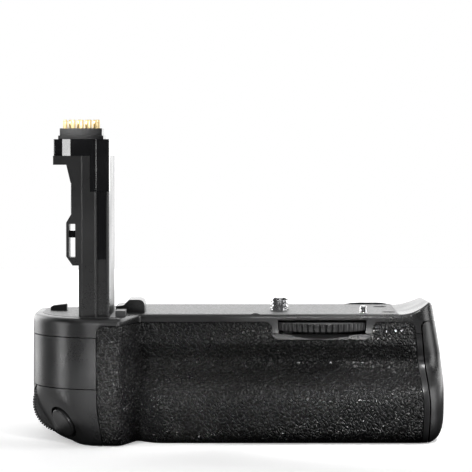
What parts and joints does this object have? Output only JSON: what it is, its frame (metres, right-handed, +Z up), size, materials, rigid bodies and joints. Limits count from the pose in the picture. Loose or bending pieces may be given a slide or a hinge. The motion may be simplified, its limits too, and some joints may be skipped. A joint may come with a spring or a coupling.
{
  "type": "camera battery grip",
  "caption": "Camera battery grip with a pebbled rubber front, a geared clamp screw, a contact tower for the camera's battery chamber and a slide-out battery tray.",
  "frame": {"origin": "centre of the tripod socket's mouth, on the base plane and on the clamp screw's axis", "axes": "+X along the grip towards the tray end, -Y to the front with the rubber and the thumb wheel, +Z up from the base to the camera"},
  "size_m": [0.139, 0.0737, 0.1084],
  "materials": {
    "housing_plastic": "black satin moulding with a fine etched grain",
    "deck_paint": "fine matt black lacquer",
    "grip_rubber": "black, pebbled like leather",
    "gloss_plastic": "polished black moulding",
    "inner_plastic": "dark grey moulding",
    "steel": "turned and nickel plated",
    "chrome": "bright plating",
    "gold": "gold-plated contacts and bearing metal",
    "board": "green solder resist",
    "flex": "amber film"
  },
  "bodies": {
    "housing": {"lower_housing": "housing_plastic", "upper_housing": "housing_plastic", "control_housing": "housing_plastic", "base_plate": "housing_plastic", "tower_column": "housing_plastic", "connector_base": "housing_plastic", "door_clip": "housing_plastic", "deck_hook": "housing_plastic", "hinge_block": "housing_plastic", "top_deck": "deck_paint", "front_rubber": "grip_rubber", "rear_rubber": "grip_rubber", "tower_cap": "gloss_plastic", "tower_strip": "gloss_plastic", "button_panel": "gloss_plastic", "chassis": "inner_plastic", "shutter_sleeve": "inner_plastic", "shutter_switch": "inner_plastic", "deck_catch": "inner_plastic", "tripod_bush": "steel", "base_screws": "steel", "deck_screws": "steel", "wheel_axle": "steel", "dial_axle": "steel", "locating_pin": "chrome", "chassis_contacts": "gold", "screw_bush": "gold", "switch_board": "board", "main_board": "board", "tower_flex": "flex"},
    "wheel": {"clamp_wheel": "housing_plastic", "wheel_gear": "inner_plastic"},
    "screw": {"clamp_screw": "chrome", "screw_gear": "steel"},
    "shutter": {"shutter_button": "housing_plastic"},
    "dial": {"control_dial": "housing_plastic"},
    "magazine": {"magazine_tray": "inner_plastic", "magazine_cap": "housing_plastic", "tray_terminals": "gold"},
    "latch": {"magazine_latch": "housing_plastic"},
    "focus": {"focus_button": "housing_plastic"},
    "lock": {"lock_button": "housing_plastic"},
    "point": {"point_button": "housing_plastic"},
    "slider": {"power_slider": "housing_plastic"},
    "contacts": {"contact_pins": "gold"}
  },
  "joints": [
    {"name": "screw_spin", "type": "hinge", "parent": "housing", "child": "screw", "pos_m": [0, 0, 0.04], "axis": [0, 0, 1], "continuous": true},
    {"name": "wheel_spin", "type": "hinge", "parent": "housing", "child": "wheel", "pos_m": [0.01404, -0.0136, 0.0386], "axis": [0, 0, 1], "continuous": true},
    {"name": "shutter_press", "type": "slide", "parent": "housing", "child": "shutter", "axis": [0.7044, 0.5212, 0.4818], "range_m": [0, 0.0012], "stiffness_N_per_m": 300},
    {"name": "dial_spin", "type": "hinge", "parent": "housing", "child": "dial", "pos_m": [-0.073, -0.0193, 0.0134], "axis": [0, 1, 0], "continuous": true},
    {"name": "magazine_slide", "type": "slide", "parent": "housing", "child": "magazine", "axis": [1, 0, 0], "range_m": [0, 0.118]},
    {"name": "latch_slide", "type": "slide", "parent": "magazine", "child": "latch", "axis": [0, 0, 1], "range_m": [0, 0.002]},
    {"name": "focus_press", "type": "slide", "parent": "housing", "child": "focus", "axis": [0.4695, -0.8829, 0], "range_m": [0, 0.0008], "stiffness_N_per_m": 300},
    {"name": "lock_press", "type": "slide", "parent": "housing", "child": "lock", "axis": [0.4695, -0.8829, 0], "range_m": [0, 0.0008], "stiffness_N_per_m": 300},
    {"name": "point_press", "type": "slide", "parent": "housing", "child": "point", "axis": [0.4695, -0.8829, 0], "range_m": [0, 0.0008], "stiffness_N_per_m": 300},
    {"name": "power_slide", "type": "slide", "parent": "housing", "child": "slider", "axis": [0.8829, 0.4695, 0], "range_m": [0, 0.003]},
    {"name": "pins_press", "type": "slide", "parent": "housing", "child": "contacts", "axis": [0, 0, -1], "range_m": [0, 0.0014], "stiffness_N_per_m": 1500}
  ],
  "couplings": [
    {"joint": "screw_spin", "follows": "wheel_spin", "ratio": -0.39286}
  ]
}
